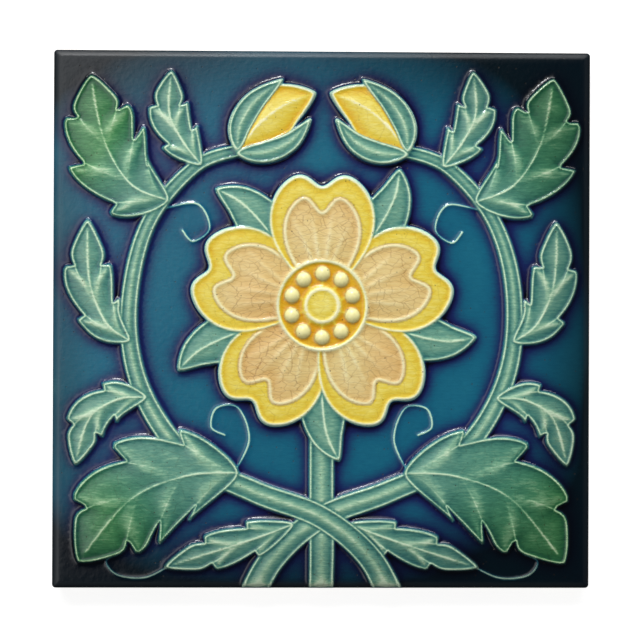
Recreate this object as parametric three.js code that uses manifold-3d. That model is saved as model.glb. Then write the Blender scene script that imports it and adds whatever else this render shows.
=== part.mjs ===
// A relief-moulded six-inch wall tile: one slab of fired clay, lying flat with its glazed face up.
// Millimetres, +Z up. The origin is the middle of the back face, and +Y is the top of the ornament.
// The ornament is a plain wild rose inside a ring of briar stems, with leaves towards the corners.

import * as THREE from "three";
import { mergeVertices } from "three/addons/utils/BufferGeometryUtils.js";
import Module from "manifold-3d";

// The slab
const SIDE = 152.4; // six inches, each way
const GROUND_HEIGHT = 8; // back face to the sunk ground of the ornament
const CORNER_RADIUS = 1; // of the four upright corners
const EDGE_WIDTH = 2.2; // how far in the rounded front edge reaches
const EDGE_DROP = 1.3; // how far down the rounded front edge reaches
const STEM_EDGE_WIDTH = 3.7; // how far in a stem starts to round over where it runs off the tile

// The mortar key pressed into the back: shallow grooves inside a plain border
const KEY_WIDTH = 5; // of each groove at its mouth
const KEY_RIB = 5.5; // between two grooves
const KEY_DEPTH = 1;
const KEY_DRAFT = 0.6; // how far each groove wall leans, so that the die lets go
const KEY_BORDER = 9; // the least plain border round the grooves

// The relief: how high each kind of form stands above the ground
const STEM_RELIEF = 1;
const LEAF_RELIEF = 1.1;
const SEPAL_RELIEF = 1.2;
const BUD_RELIEF = 1.3;
const BUD_SEPAL_RELIEF = 1.5;
const PETAL_RELIEF = 1.4;
const PETAL_SWELL_RELIEF = 1.65; // the swelling inside each petal's rolled lip
const HEART_RELIEF = 1.8;
const BOSS_RELIEF = 2.1;
const BEAD_RELIEF = 2.5;
const WALL_LEAN = 0.7; // how far each form's wall leans out towards its foot
const BURIED = 0.8; // how far each form runs down into the slab

// The rose
const ROSE_HEIGHT = 4; // its centre, above the middle of the tile
const PETALS = 5;
const PETAL_REACH = 38.5; // centre to the petals' shoulders
const PETAL_SPREAD = 43; // half the angle that a petal covers, in degrees
const PETAL_NOTCH = 0.13; // depth of the heart-shaped notch, as a share of the reach
const NOTCH_WIDTH = 0.16; // as a share of the petal's half angle
const PETAL_FULLNESS = 0.33; // nearer to 0 makes squarer shoulders
const SWELL_SHARE = 0.84; // the petal inside its rolled lip, as a share of the petal
const SWELL_SPREAD = 37;
const SWELL_NOTCH = 0.18;
const HEART_RADIUS = 13;
const BOSS_RADIUS = 5.2;
const BEADS = 10;
const BEAD_RADIUS = 2.1;
const BEAD_RING = 9; // the heart's centre to the beads'
const SEPAL_HALF_WIDTH = 6.5;
const SEPAL_FROM = 16;
const SEPAL_TO = 44;
const SEPAL_HOOK = 5; // how far a sepal's tip bends to one side
const SEPAL_HOOK_POWER = 4; // higher keeps the bend nearer to the tip
const SEPAL_PLACES = [0, 0.43, 0.75, 1]; // of the points of a sepal's rib, as shares of its length

// The stems, leaves and buds of the right-hand half, which the left-hand half mirrors. Their points
// are in hundredths of the tile's half side, from its middle, so the layout fits a tile of any side.
const MAIN_STEM = [[0, -108], [0, -80], [0, -25]];
const MAIN_STEM_HALF_WIDTH = 3.4;
const BRIAR_FOOT_HALF_WIDTH = 3.6;
const BRIAR_TIP_HALF_WIDTH = 1.6; // where the bud begins
const BRIAR = [
  [-29, -108],
  [-18.5, -89],
  [0, -73.5],
  [25, -64],
  [50, -51],
  [67, -26],
  [71.5, 5],
  [64.5, 35.5],
  [47, 56.5],
  [29, 63],
];
const LEAVES = [
  { rib: [[31, -57], [50, -58], [71, -67], [90, -90]], halfWidth: 15.5, lobes: 4 },
  { rib: [[10.5, -76], [24, -81], [39, -86], [58, -92]], halfWidth: 5.5, lobes: 3 },
  { rib: [[65, -29], [76, -30], [86, -37], [91, -54]], halfWidth: 6, lobes: 3 },
  { rib: [[71, -8], [80, -1], [86, 14], [87, 36]], halfWidth: 7, lobes: 3 },
  { rib: [[57, 44], [71, 50], [81, 66], [86, 90]], halfWidth: 12, lobes: 4 },
  { rib: [[45, 57], [52, 66], [57, 77], [56, 92]], halfWidth: 6, lobes: 3 },
];
const BUD = { rib: [[31, 62], [25, 71], [15, 79], [3, 84]], halfWidth: 8 };
const BUD_SEPALS = [
  { rib: [[31.5, 62.5], [30.5, 72], [25, 81], [15, 89]], halfWidth: 3.2 },
  { rib: [[31.5, 61.5], [21, 62], [12, 66], [5, 74]], halfWidth: 3 },
];
const LOBE_DEPTH = 0.36; // of the notch between two lobes, as a share of the leaf's half width
const LOBE_LEAN = 0.3; // how far a lobe's tip leans forward, as a share of the leaf's half width
const LOBE_PEAK = 0.84; // where along a lobe its tip is
const END_LOBE_PEAK = 0.4; // where the last lobe, which is the leaf's pointed end, is widest
const LEAF_FULLEST = 0.8; // under 1 puts the widest place nearer to the leaf's foot
const LEAF_FULLNESS = 0.75; // nearer to 0 makes blunter ends

// Facets
const EDGE_STEPS = 5;
const STEM_STEPS = 4; // along a stem, between two of its points
const LEAF_STEPS = 18; // along a leaf without lobes
const LOBE_PLACES = [0, 0.12, 0.3, 0.55, LOBE_PEAK]; // along each lobe
const END_LOBE_PLACES = [0, END_LOBE_PEAK / 3, END_LOBE_PEAK / 1.5, END_LOBE_PEAK, 0.6, 0.8, 0.93, 1];
const PETAL_POINTS = 36;
const ROUND_POINTS = 32;
const BEAD_POINTS = 12;
const BEAD_STEPS = 3; // from a bead's rim to its top

const wasm = await Module();
wasm.setup();

// A closed three.js geometry as a solid that can be cut and joined.
function solid(geometry) {
  const bare = geometry.index ? geometry.toNonIndexed() : geometry.clone();
  bare.deleteAttribute("normal");
  bare.deleteAttribute("uv");
  const merged = mergeVertices(bare, 1e-4);
  const mesh = new wasm.Mesh({
    numProp: 3,
    vertProperties: merged.attributes.position.array,
    triVerts: new Uint32Array(merged.index.array),
  });
  return new wasm.Manifold(mesh);
}

// A solid as a three.js geometry.
function geometryOf(made) {
  const mesh = made.getMesh();
  const geometry = new THREE.BufferGeometry();
  geometry.setAttribute("position", new THREE.BufferAttribute(mesh.vertProperties, 3));
  geometry.setIndex(new THREE.BufferAttribute(mesh.triVerts, 1));
  const flat = geometry.toNonIndexed();
  flat.computeVertexNormals();
  return flat;
}

const vector = ([x, y]) => new THREE.Vector2(x, y);

// Points of the layout as places on the tile, for its right-hand (1) or left-hand (-1) half.
function placed(points, hand) {
  const unit = SIDE / 2 / 100;
  return points.map(([x, y]) => [hand * x * unit, y * unit]);
}

// A section through the tile, with rounded front edges: x across, y up.
function section(height, edgeWidth, edgeDrop) {
  const half = SIDE / 2;
  const shape = new THREE.Shape();
  shape.moveTo(-half, 0);
  shape.lineTo(half, 0);
  shape.absellipse(half - edgeWidth, height - edgeDrop, edgeWidth, edgeDrop, 0, Math.PI / 2);
  shape.absellipse(edgeWidth - half, height - edgeDrop, edgeWidth, edgeDrop, Math.PI / 2, Math.PI);
  return shape;
}

// The tile's plan, with its small corner radius.
function plan() {
  const inner = SIDE / 2 - CORNER_RADIUS;
  const shape = new THREE.Shape();
  shape.absarc(inner, -inner, CORNER_RADIUS, -Math.PI / 2, 0);
  shape.absarc(inner, inner, CORNER_RADIUS, 0, Math.PI / 2);
  shape.absarc(-inner, inner, CORNER_RADIUS, Math.PI / 2, Math.PI);
  shape.absarc(-inner, -inner, CORNER_RADIUS, Math.PI, (3 * Math.PI) / 2);
  return shape;
}

// A block is what two crossed lengths of one section and the plan have in common, so its rounded
// edges meet in a mitre at each corner.
function block(height, edgeWidth, edgeDrop) {
  const settings = { bevelEnabled: false, curveSegments: EDGE_STEPS };
  const along = new THREE.ExtrudeGeometry(section(height, edgeWidth, edgeDrop), { ...settings, depth: SIDE });
  along.translate(0, 0, -SIDE / 2);
  along.rotateX(Math.PI / 2);
  const across = along.clone().rotateZ(Math.PI / 2);
  const upright = new THREE.ExtrudeGeometry(plan(), { ...settings, depth: height });
  return solid(along).intersect(solid(across)).intersect(solid(upright));
}

// One groove of the mortar key, centred on y and running along X.
function keyGroove(y) {
  const mouth = KEY_WIDTH / 2;
  const mouthSection = new THREE.Shape([
    new THREE.Vector2(-mouth - KEY_DRAFT, -KEY_DEPTH),
    new THREE.Vector2(mouth + KEY_DRAFT, -KEY_DEPTH),
    new THREE.Vector2(mouth - KEY_DRAFT, KEY_DEPTH),
    new THREE.Vector2(-mouth + KEY_DRAFT, KEY_DEPTH),
  ]);
  const length = SIDE - 2 * KEY_BORDER;
  const groove = new THREE.ExtrudeGeometry(mouthSection, { depth: length, bevelEnabled: false });
  groove.translate(0, 0, -length / 2);
  groove.rotateX(Math.PI / 2);
  groove.rotateZ(Math.PI / 2);
  groove.translate(0, y, 0);
  return solid(groove);
}

// A raised form of the relief: its outline is the top arris, and its wall leans out to its foot.
function raised(outline, relief) {
  const form = new THREE.ExtrudeGeometry(new THREE.Shape(outline), {
    depth: BURIED,
    bevelThickness: relief,
    bevelSize: WALL_LEAN,
    bevelSegments: 1,
    curveSegments: 1,
  });
  form.translate(0, 0, GROUND_HEIGHT - BURIED);
  return solid(form);
}

// Evenly spaced shares of a length, from 0 to 1.
const evenShares = (steps) => Array.from({ length: steps + 1 }, (_, i) => i / steps);

// The outline on both sides of a smooth spine through some points, with a station at each of some
// shares of its length. shape(share) gives the half width there, and how far it leans forward.
function outlineAround(points, shares, shape) {
  const spine = new THREE.SplineCurve(points.map(vector));
  const side = (hand) =>
    shares.map((share) => {
      const { halfWidth, lean } = shape(share);
      const way = spine.getTangentAt(share);
      const normal = new THREE.Vector2(-way.y, way.x);
      return spine.getPointAt(share).addScaledVector(way, lean).addScaledVector(normal, hand * halfWidth);
    });
  return [...side(1), ...side(-1).reverse()];
}

// A leaf is pointed at both ends. Each lobe widens in a round sweep to its tip, which leans forward,
// and then drops back into a notch. The last lobe narrows to the leaf's point instead.
function leaf({ rib, halfWidth, lobes = 0 }) {
  const blade = (share) =>
    halfWidth * Math.max(Math.sin(Math.PI * share ** LEAF_FULLEST), 0) ** LEAF_FULLNESS;
  const notched = (share, rise) => blade(share) * (1 - LOBE_DEPTH * (1 - rise));
  const plain = (share) => ({ halfWidth: blade(share), lean: 0 });
  const sweep = (part) => Math.sin((Math.PI / 2) * Math.min(part, 1));
  const lobed = (share) => {
    const lobe = Math.min(Math.floor(share * lobes), lobes - 1);
    const place = share * lobes - lobe;
    if (lobe === lobes - 1) {
      return { halfWidth: notched(share, sweep(place / END_LOBE_PEAK)), lean: 0 };
    }
    const rise = place < LOBE_PEAK ? sweep(place / LOBE_PEAK) : (1 - place) / (1 - LOBE_PEAK);
    return { halfWidth: notched(share, rise), lean: LOBE_LEAN * blade(share) * rise };
  };
  const lobedShares = Array.from({ length: lobes }, (_, lobe) =>
    (lobe < lobes - 1 ? LOBE_PLACES : END_LOBE_PLACES).map((place) => (lobe + place) / lobes),
  ).flat();
  const shares = lobes ? lobedShares : evenShares(LEAF_STEPS);
  const outline = outlineAround(rib, shares, lobes ? lobed : plain);
  const tip = outline.length / 2;
  return [...outline.slice(0, tip), ...outline.slice(tip + 1, -1)];
}

// A stem narrows evenly from its foot to its tip.
function stem(points, footHalfWidth, tipHalfWidth) {
  const shape = (share) => ({
    halfWidth: THREE.MathUtils.lerp(footHalfWidth, tipHalfWidth, share),
    lean: 0,
  });
  return outlineAround(points, evenShares((points.length - 1) * STEM_STEPS), shape);
}

const rose = (angle, reach) =>
  new THREE.Vector2(reach * Math.cos(angle), ROSE_HEIGHT + reach * Math.sin(angle));

const petalTurn = (i) => Math.PI / 2 + (2 * Math.PI * i) / PETALS;

// A heart-shaped petal: broad shoulders either side of a notch, closing on the rose's centre.
function petal(i, reach, spread, notch) {
  const half = THREE.MathUtils.degToRad(spread);
  const outline = [];
  for (let k = 0; k <= PETAL_POINTS; k++) {
    const u = (2 * k) / PETAL_POINTS - 1;
    const lobe = Math.max(Math.cos((Math.PI / 2) * u), 0) ** PETAL_FULLNESS;
    const dip = 1 - notch * Math.exp(-((u / NOTCH_WIDTH) ** 2));
    outline.push(rose(petalTurn(i) + half * u, reach * lobe * dip));
  }
  return outline.slice(0, -1);
}

// A sepal shows between two petals, with its tip bent to one side.
function sepal(i) {
  const angle = petalTurn(i + 0.5);
  const out = new THREE.Vector2(Math.cos(angle), Math.sin(angle));
  const aside = new THREE.Vector2(-out.y, out.x);
  const rib = SEPAL_PLACES.map((share) => {
    const reach = THREE.MathUtils.lerp(SEPAL_FROM, SEPAL_TO, share);
    const bend = SEPAL_HOOK * share ** SEPAL_HOOK_POWER;
    const at = out.clone().multiplyScalar(reach).addScaledVector(aside, bend);
    return [at.x, ROSE_HEIGHT + at.y];
  });
  return leaf({ rib, halfWidth: SEPAL_HALF_WIDTH });
}

function disc(radius) {
  return Array.from({ length: ROUND_POINTS }, (_, i) => rose((2 * Math.PI * i) / ROUND_POINTS, radius));
}

// One of the round beads in the rose's heart.
function bead(i) {
  const rise = BEAD_RELIEF - HEART_RELIEF;
  const profile = [[0, -BURIED]];
  profile.push([BEAD_RADIUS, -BURIED]);
  for (let k = 0; k < BEAD_STEPS; k++) {
    const lift = ((Math.PI / 2) * k) / BEAD_STEPS;
    profile.push([BEAD_RADIUS * Math.cos(lift), rise * Math.sin(lift)]);
  }
  profile.push([0, rise]);
  const made = new THREE.LatheGeometry(profile.map(vector), BEAD_POINTS);
  made.rotateX(Math.PI / 2);
  const at = rose((2 * Math.PI * i) / BEADS + Math.PI / 2, BEAD_RING);
  made.translate(at.x, at.y, GROUND_HEIGHT + HEART_RELIEF);
  return solid(made);
}

// All the raised forms of the ornament.
function ornament() {
  const mainStem = stem(placed(MAIN_STEM, 1), MAIN_STEM_HALF_WIDTH, MAIN_STEM_HALF_WIDTH);
  const forms = [raised(mainStem, STEM_RELIEF)];
  for (const hand of [1, -1]) {
    const onTile = (shape) => leaf({ ...shape, rib: placed(shape.rib, hand) });
    const briar = stem(placed(BRIAR, hand), BRIAR_FOOT_HALF_WIDTH, BRIAR_TIP_HALF_WIDTH);
    forms.push(raised(briar, STEM_RELIEF));
    for (const shape of LEAVES) forms.push(raised(onTile(shape), LEAF_RELIEF));
    forms.push(raised(onTile(BUD), BUD_RELIEF));
    for (const shape of BUD_SEPALS) forms.push(raised(onTile(shape), BUD_SEPAL_RELIEF));
  }
  for (let i = 0; i < PETALS; i++) {
    const inner = petal(i, PETAL_REACH * SWELL_SHARE, SWELL_SPREAD, SWELL_NOTCH);
    forms.push(raised(sepal(i), SEPAL_RELIEF));
    forms.push(raised(petal(i, PETAL_REACH, PETAL_SPREAD, PETAL_NOTCH), PETAL_RELIEF));
    forms.push(raised(inner, PETAL_SWELL_RELIEF));
  }
  forms.push(raised(disc(HEART_RADIUS), HEART_RELIEF));
  forms.push(raised(disc(BOSS_RADIUS), BOSS_RELIEF));
  for (let i = 0; i < BEADS; i++) forms.push(bead(i));
  return forms;
}

// Stems that run off the tile round over at its edge. The grooves of the key come in pairs, either
// side of a rib through the middle.
function tile() {
  const limits = block(GROUND_HEIGHT + 2 * BEAD_RELIEF, STEM_EDGE_WIDTH, EDGE_DROP + 2 * BEAD_RELIEF);
  const pitch = KEY_WIDTH + KEY_RIB;
  const pairs = Math.floor((SIDE - 2 * KEY_BORDER + KEY_RIB) / (2 * pitch));
  let made = block(GROUND_HEIGHT, EDGE_WIDTH, EDGE_DROP);
  for (const form of ornament()) made = made.add(form);
  made = made.intersect(limits);
  for (let i = 0; i < pairs; i++) {
    for (const side of [1, -1]) made = made.subtract(keyGroove(side * (i + 0.5) * pitch));
  }
  return made;
}

const glaze = new THREE.MeshStandardMaterial({ color: 0x1c5a6e, roughness: 0.12, metalness: 0 });
const mesh = new THREE.Mesh(geometryOf(tile()), glaze);
mesh.name = "relief_tile";

const part = new THREE.Group();
part.add(mesh);

export default part;
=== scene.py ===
# %% [markdown]
# # A relief tile in coloured glazes
#
# A pressed wall tile is one slab of fired clay. Its face is modelled in low relief, with fine raised
# lines round every form, and coloured glazes are flooded between the lines. The glaze is glassy and
# see-through: it is pale where it is stretched thin over a line, and dark where it pools at its foot.
# So this lesson first models the clay, then works out how thick the glaze lies, and lets that one
# thickness drive the colour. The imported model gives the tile's box, and everything is in its frame.

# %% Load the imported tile
import math

import bpy
import numpy as np
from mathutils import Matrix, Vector
from mathutils.geometry import delaunay_2d_cdt


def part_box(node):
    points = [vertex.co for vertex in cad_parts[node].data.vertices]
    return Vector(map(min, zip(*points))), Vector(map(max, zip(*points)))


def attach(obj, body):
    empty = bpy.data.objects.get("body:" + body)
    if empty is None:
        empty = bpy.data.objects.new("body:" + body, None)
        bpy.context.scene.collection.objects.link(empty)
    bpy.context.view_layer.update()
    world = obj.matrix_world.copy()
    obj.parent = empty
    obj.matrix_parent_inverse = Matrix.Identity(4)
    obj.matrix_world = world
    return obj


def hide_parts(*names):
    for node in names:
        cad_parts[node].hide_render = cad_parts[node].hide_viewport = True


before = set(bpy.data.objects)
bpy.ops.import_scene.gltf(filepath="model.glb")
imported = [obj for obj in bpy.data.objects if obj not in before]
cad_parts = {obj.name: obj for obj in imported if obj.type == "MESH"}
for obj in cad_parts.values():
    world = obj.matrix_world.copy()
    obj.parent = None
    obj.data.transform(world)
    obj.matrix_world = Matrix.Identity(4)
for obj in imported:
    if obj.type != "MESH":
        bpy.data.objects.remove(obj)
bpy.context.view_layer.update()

MM = 0.001
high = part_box("relief_tile")[1]
HALF_SIDE = high[0] / MM
print("half side", round(HALF_SIDE, 2), "mm, height", round(high[2] / MM, 2), "mm")

# %% [markdown]
# ## Camera
#
# The photograph looks almost straight down on the tile. Its far side is a little smaller than its near
# side, so the camera stood slightly to the left and was turned by a fifth of a degree. A camera could
# be placed by eye, but a tile has four sharp corners, and the place below brings each of them to within
# a fifth of a pixel of its place in the photograph.

# %% Place the camera
CAMERA_PLACE = (-7.93, -1.70, 438.82)  # in millimetres
CAMERA_TURN = (0.1287, -1.0531, 0.2115)  # in degrees
FILM_WIDTH = 36.0
FOCAL_LENGTH = 85.0

camera_data = bpy.data.cameras.new("camera")
camera_data.sensor_width = FILM_WIDTH
camera_data.lens = FOCAL_LENGTH
camera = bpy.data.objects.new("camera", camera_data)
camera.location = Vector(CAMERA_PLACE) * MM
camera.rotation_euler = [math.radians(angle) for angle in CAMERA_TURN]
bpy.context.scene.collection.objects.link(camera)
bpy.context.scene.camera = camera
print("camera", round(camera.location.z, 3), "m above the back of the tile")

# %% [markdown]
# ## Outlines of the ornament
#
# The ornament is a wild rose inside a ring of briar stems, with leaves towards the corners. It could be
# sculpted by hand, but it is drawn here with the few points and sizes that the clay slab was made from,
# so the modelled skin fits the solid. A spline through a handful of points gives each stem and each
# leaf's rib, and a width along it gives the outline. Lengths are in millimetres and spreads in degrees.
# The other numbers are shares, such as how deep a petal's notch is for its reach.

# %% Sizes of the relief
GROUND_HEIGHT = 8.0
CORNER_RADIUS = 1.0
EDGE_WIDTH = 2.2
EDGE_DROP = 1.3
STEM_RELIEF = 1.0
LEAF_RELIEF = 1.1
SEPAL_RELIEF = 1.2
BUD_RELIEF = 1.3
BUD_SEPAL_RELIEF = 1.5
PETAL_RELIEF = 1.4
PETAL_SWELL_RELIEF = 1.65
HEART_RELIEF = 1.8
BOSS_RELIEF = 2.1
BEAD_RELIEF = 2.5

ROSE = np.array([0.0, 4.0])
PETALS = 5
PETAL_REACH = 38.5
PETAL_SPREAD = 43.0
PETAL_NOTCH = 0.13
NOTCH_WIDTH = 0.16
PETAL_FULLNESS = 0.33
SWELL_SHARE = 0.84
SWELL_SPREAD = 37.0
SWELL_NOTCH = 0.18
HEART_RADIUS = 13.0
BOSS_RADIUS = 5.2
BEADS = 10
BEAD_RADIUS = 2.1
BEAD_RING = 9.0
SEPAL_HALF_WIDTH = 6.5
SEPAL_FROM = 16.0
SEPAL_TO = 44.0
SEPAL_HOOK = 5.0
LOBE_DEPTH = 0.36
LOBE_LEAN = 0.3
LOBE_PEAK = 0.84
END_LOBE_PEAK = 0.4
LEAF_FULLEST = 0.8
LEAF_FULLNESS = 0.75

# %% The layout of the right-hand half, in hundredths of the half side
MAIN_STEM = [(0, -108), (0, -80), (0, -25)]
MAIN_STEM_HALF_WIDTH = 3.4
BRIAR_FOOT_HALF_WIDTH = 3.6
BRIAR_TIP_HALF_WIDTH = 1.6
BRIAR = [
    (-29, -108), (-18.5, -89), (0, -73.5), (25, -64), (50, -51),
    (67, -26), (71.5, 5), (64.5, 35.5), (47, 56.5), (29, 63),
]
LEAVES = [
    {"rib": [(31, -57), (50, -58), (71, -67), (90, -90)], "half_width": 15.5, "lobes": 4},
    {"rib": [(10.5, -76), (24, -81), (39, -86), (58, -92)], "half_width": 5.5, "lobes": 3},
    {"rib": [(65, -29), (76, -30), (86, -37), (91, -54)], "half_width": 6.0, "lobes": 3},
    {"rib": [(71, -8), (80, -1), (86, 14), (87, 36)], "half_width": 7.0, "lobes": 3},
    {"rib": [(57, 44), (71, 50), (81, 66), (86, 90)], "half_width": 12.0, "lobes": 4},
    {"rib": [(45, 57), (52, 66), (57, 77), (56, 92)], "half_width": 6.0, "lobes": 3},
]
BUD = {"rib": [(31, 62), (25, 71), (15, 79), (3, 84)], "half_width": 8.0}
BUD_SEPALS = [
    {"rib": [(31.5, 62.5), (30.5, 72), (25, 81), (15, 89)], "half_width": 3.2},
    {"rib": [(31.5, 61.5), (21, 62), (12, 66), (5, 74)], "half_width": 3.0},
]
TENDRILS = [
    [(33, -58), (27, -45), (31, -33), (39, -33), (41, -40), (36, -43)],
    [(62, 40), (47, 43), (42, 34), (48, 29), (52, 33)],
    [(57, -92), (66, -96), (76, -95), (80, -90), (75, -87)],
]


# %% Splines, stems, leaves and petals
def placed(points, hand=1):
    """Points of the layout as millimetres on the tile, for its right (1) or left (-1) half."""
    return np.array(points, dtype=float) * (hand, 1) * HALF_SIDE / 100


def spine(points, steps=20):
    """A smooth line through some points, its unit normals, and the share of its length, 0 to 1."""
    ends = np.vstack([points[0], points, points[-1]])
    line = []
    for a, b, c, d in zip(ends, ends[1:], ends[2:], ends[3:]):
        for t in np.arange(steps) / steps:
            pull = (c - a) * t + (2 * a - 5 * b + 4 * c - d) * t**2 + (3 * b - a - 3 * c + d) * t**3
            line.append(b + pull / 2)
    line = np.array(line + [ends[-1]])
    way = np.gradient(line, axis=0)
    way /= np.linalg.norm(way, axis=1)[:, None]
    length = np.insert(np.cumsum(np.linalg.norm(np.diff(line, axis=0), axis=1)), 0, 0)
    return line, np.column_stack([-way[:, 1], way[:, 0]]), length / length[-1]


def leaf_width(share, half_width, lobes=0):
    """A leaf's half width along its rib, and how far forward its lobes lean."""
    blade = half_width * np.maximum(np.sin(np.pi * share**LEAF_FULLEST), 0) ** LEAF_FULLNESS
    if not lobes:
        return blade, 0 * share
    lobe = np.minimum(share * lobes // 1, lobes - 1)
    place = share * lobes - lobe
    sweep = np.sin(np.pi / 2 * np.minimum(place / LOBE_PEAK, 1))
    rise = np.where(place < LOBE_PEAK, sweep, (1 - place) / (1 - LOBE_PEAK))
    at_end = lobe == lobes - 1
    rise = np.where(at_end, np.sin(np.pi / 2 * np.minimum(place / END_LOBE_PEAK, 1)), rise)
    return blade * (1 - LOBE_DEPTH * (1 - rise)), np.where(at_end, 0, LOBE_LEAN * blade * rise)


def around(points, width):
    """The outline on both sides of a spine, from its half width and forward lean."""
    line, normal, share = spine(points)
    reach, lean = width(share)
    way = np.column_stack([normal[:, 1], -normal[:, 0]])
    middle = line + way * lean[:, None]
    side = normal * reach[:, None]
    return np.vstack([middle + side, (middle - side)[::-1]])


def rose_point(angle, reach):
    """A point at some angle and reach from the rose's centre."""
    return ROSE + np.column_stack([np.cos(angle), np.sin(angle)]) * np.atleast_1d(reach)[:, None]


def petal(turn, reach, spread, notch, count=72):
    """A heart-shaped petal: broad shoulders either side of a notch."""
    u = np.linspace(-1, 1, count)
    lobe = np.maximum(np.cos(np.pi / 2 * u), 0) ** PETAL_FULLNESS
    dip = 1 - notch * np.exp(-((u / NOTCH_WIDTH) ** 2))
    return rose_point(turn + math.radians(spread) * u, reach * lobe * dip)


def sepal_rib(turn):
    """A sepal's rib runs straight out and bends to one side at its tip."""
    out = np.array([math.cos(turn), math.sin(turn)])
    aside = np.array([-out[1], out[0]])
    shares = (0, 0.43, 0.75, 1)
    reach = [SEPAL_FROM + (SEPAL_TO - SEPAL_FROM) * share for share in shares]
    return np.array([ROSE + out * r + aside * SEPAL_HOOK * s**4 for r, s in zip(reach, shares)])


petal_turns = [math.pi / 2 + 2 * math.pi * i / PETALS for i in range(PETALS)]
print("petals at", [round(math.degrees(turn)) for turn in petal_turns], "degrees")

# %% [markdown]
# ## Clay as a height map
#
# The relief could be displaced by an image, but here it is built up the way a modeller works: form
# over form, from the stems up to the beads. A fine grid holds the clay's height. Each form raises the
# grid inside its outline. What matters is the distance of each grid point to the outline: it gives the
# leaning wall, the raised line along the arris, the small hollow behind that line, and the soft swell
# of the middle. A slow wobble of the grid takes the ruler-straightness out of every outline. Beside the
# clay, other grids of the same size note where a line leaves the clay bare, and which glaze lies where.

# %% The grid and a blur
CELL = 0.2
BLUR_MARGIN = 40
count = int(round(2 * HALF_SIDE / CELL)) + 1
axis = np.linspace(-HALF_SIDE, HALF_SIDE, count)
cell = axis[1] - axis[0]
grid_x, grid_y = np.meshgrid(axis, axis)


def blurred(field, size):
    """A field averaged over a soft round patch whose radius is size, in millimetres."""
    wide = np.pad(field, BLUR_MARGIN, mode="edge")
    across = np.fft.rfftfreq(wide.shape[1], cell)
    down = np.fft.fftfreq(wide.shape[0], cell)[:, None]
    keep = np.exp(-2 * (np.pi * size) ** 2 * (across**2 + down**2))
    soft = np.fft.irfft2(np.fft.rfft2(wide) * keep, wide.shape)
    return soft[BLUR_MARGIN:-BLUR_MARGIN, BLUR_MARGIN:-BLUR_MARGIN]


def soft_noise(size, seed):
    """Seeded noise whose lumps are about size across, from about -1 to 1."""
    noise = blurred(np.random.default_rng(seed).standard_normal(grid_x.shape), size / 2)
    return noise / (2 * noise.std())


WOBBLE = 0.3
WOBBLE_LENGTH = 14
warped_x = grid_x + WOBBLE * soft_noise(WOBBLE_LENGTH, 1)
warped_y = grid_y + WOBBLE * soft_noise(WOBBLE_LENGTH, 2)
print("grid of", grid_x.shape, "cells of", round(cell, 3), "mm")


# %% Distance to an outline or a line
def patch_around(points, margin):
    """The part of the grid that some points cover, as a slice."""
    (x0, y0), (x1, y1) = points.min(axis=0) - margin, points.max(axis=0) + margin
    columns = slice(max(np.searchsorted(axis, x0), 0), np.searchsorted(axis, x1) + 1)
    rows = slice(max(np.searchsorted(axis, y0), 0), np.searchsorted(axis, y1) + 1)
    return rows, columns


def distance(points, patch, closed):
    """Distance of each grid point to a line, positive inside a closed one, and its place along it."""
    x, y = warped_x[patch], warped_y[patch]
    nearest = np.full(x.shape, np.inf)
    along = np.zeros(x.shape)
    inside = np.zeros(x.shape, dtype=bool)
    ends = np.roll(points, -1, axis=0) if closed else points[1:]
    for number, ((ax, ay), (bx, by)) in enumerate(zip(points, ends)):
        ex, ey = bx - ax, by - ay
        span = ex * ex + ey * ey
        if span == 0:
            continue
        dx, dy = x - ax, y - ay
        t = np.clip((dx * ex + dy * ey) / span, 0, 1)
        reach = (dx - t * ex) ** 2 + (dy - t * ey) ** 2
        along = np.where(reach < nearest, number + t, along)
        nearest = np.minimum(nearest, reach)
        if closed and ey:
            inside ^= ((ay > y) != (by > y)) & (x < ax + dy * ex / ey)
    away = np.sqrt(nearest)
    return np.where(inside, away, -away) if closed else away, along / len(ends)


def step(value, start, end):
    """A smooth step from 0 at start to 1 at end."""
    t = np.clip((value - start) / (end - start), 0, 1)
    return t * t * (3 - 2 * t)


# %% Laying one form over the others
WALL = 0.9  # how far out the foot of a form's wall stands
HOLLOW = 0.25  # how far the clay behind a line lies below the form's full height
CREST_SHARE = 0.66  # of a line's width, which the glaze leaves bare
HAIRLINE_BARE = 0.8  # how bare the glaze leaves a hairline
LINE_WIDTH = 0.5  # a vein narrower than this is a line, and a broader one a swelling
BARE_LINE = 0.4  # the height at which a vein's line is bare
GLAZES = ("leaf", "spring", "petal", "yolk", "bead")
clay = np.zeros(grid_x.shape)
line = np.zeros(grid_x.shape)
laid = {name: np.zeros(grid_x.shape) for name in GLAZES}


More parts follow.
